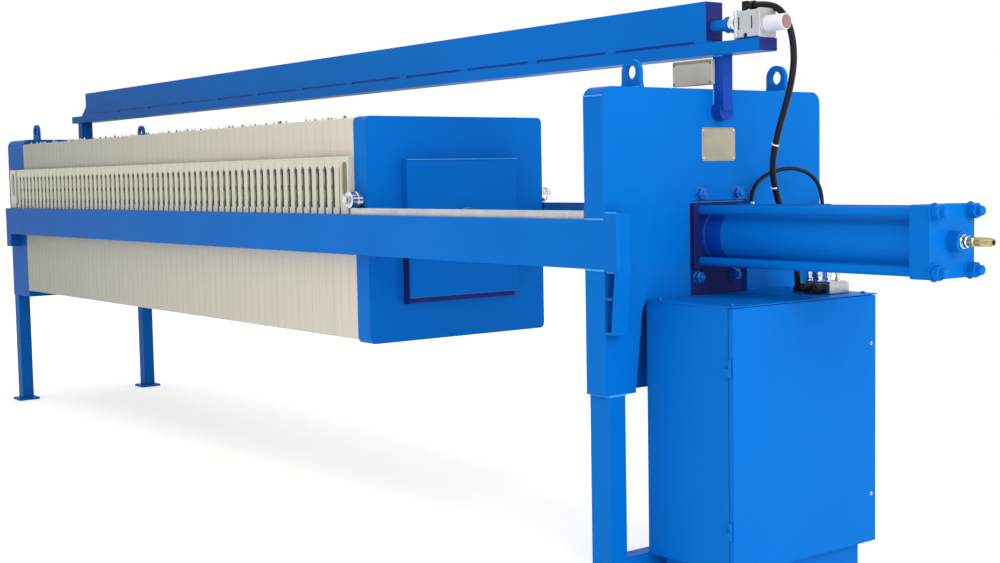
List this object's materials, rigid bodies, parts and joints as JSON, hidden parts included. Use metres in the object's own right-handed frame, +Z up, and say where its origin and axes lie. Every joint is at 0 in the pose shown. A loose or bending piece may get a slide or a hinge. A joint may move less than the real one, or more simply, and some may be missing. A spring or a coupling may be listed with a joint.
{
  "type": "plate filter press",
  "caption": "Plate filter press with a clamped pack of recessed plates on side beams, a follower pushed by a hydraulic cylinder, an overhead plate shifter beam and a power pack cabinet.",
  "frame": {"origin": "centre of the whole press at floor level, without the conduit and the hose", "axes": "+X along the press from the fixed head to the closing cylinder, +Y across it, +Z up"},
  "size_m": [7.5658, 1.176, 2.141],
  "materials": {
    "blue_paint": "gloss enamel",
    "white_plastic": "moulded polypropylene",
    "stainless": "brushed",
    "chrome": "plated",
    "brass": "turned",
    "grey_cast": "cast",
    "motor_white": "paint",
    "box_grey": "satin paint",
    "black_rubber": "matt"
  },
  "bodies": {
    "frame": {"filter_plates_1": "white_plastic", "filter_plates_2": "white_plastic", "filter_plates_3": "white_plastic", "filter_plates_4": "white_plastic", "plate_handles_near": "white_plastic", "plate_handles_far": "white_plastic", "head_plate": "white_plastic", "side_beams": "blue_paint", "rails": "stainless", "beam_end_blocks": "blue_paint", "stand_gussets": "blue_paint", "stand_front_plate": "blue_paint", "stand_back_plate": "blue_paint", "stand_edge_band": "blue_paint", "stand_bore_tube": "blue_paint", "legs": "blue_paint", "feet": "blue_paint", "stand_tie_bar": "blue_paint", "lifting_eyes": "blue_paint", "head_thrust_plate": "blue_paint", "head_back_plate": "blue_paint", "head_edge_band": "blue_paint", "head_ribs": "blue_paint", "head_beam_brackets": "blue_paint", "feed_inlet": "blue_paint", "cylinder_seat": "blue_paint", "cylinder_flange": "blue_paint", "cylinder_barrel": "blue_paint", "cylinder_end_cap": "blue_paint", "cylinder_tie_rods": "blue_paint", "cylinder_mount_nuts": "chrome", "port_coupling": "brass", "cabinet_top": "blue_paint", "cabinet_body": "blue_paint", "cabinet_plinth": "blue_paint", "cabinet_hinge_pins": "blue_paint", "valve_manifold": "chrome", "track_beam": "blue_paint", "shifter_housing": "blue_paint", "housing_supports": "blue_paint", "near_post": "blue_paint", "far_post": "blue_paint", "junction_box": "box_grey", "drive_shaft": "blue_paint", "gearbox": "grey_cast", "gear_motor": "motor_white", "conduit": "black_rubber", "hose": "black_rubber", "conduit_glands": "black_rubber", "hose_fittings": "chrome"},
    "follower": {"follower_plate": "blue_paint", "follower_boss": "blue_paint", "roller_axles": "chrome", "piston_rod": "chrome"},
    "near_roller": {"roller_near": "chrome"},
    "far_roller": {"roller_far": "chrome"},
    "door": {"cabinet_door": "blue_paint", "door_latches": "chrome"}
  },
  "joints": [
    {"name": "follower_slide", "type": "slide", "parent": "frame", "child": "follower", "axis": [1, 0, 0], "range_m": [0, 0.75]},
    {"name": "near_roller_spin", "type": "hinge", "parent": "follower", "child": "near_roller", "pos_m": [0.90985, -0.538, 1.4193], "axis": [0, 1, 0], "range_deg": [0, 1162]},
    {"name": "far_roller_spin", "type": "hinge", "parent": "follower", "child": "far_roller", "pos_m": [0.90985, 0.538, 1.4193], "axis": [0, 1, 0], "range_deg": [0, 1162]},
    {"name": "door_hinge", "type": "hinge", "parent": "frame", "child": "door", "pos_m": [3.03135, -0.3845, 0.6], "axis": [0, 0, -1], "range_deg": [0, 110]}
  ],
  "couplings": [
    {"joint": "near_roller_spin", "follows": "follower_slide", "rad_per_m": 27.027},
    {"joint": "far_roller_spin", "follows": "follower_slide", "rad_per_m": 27.027}
  ]
}
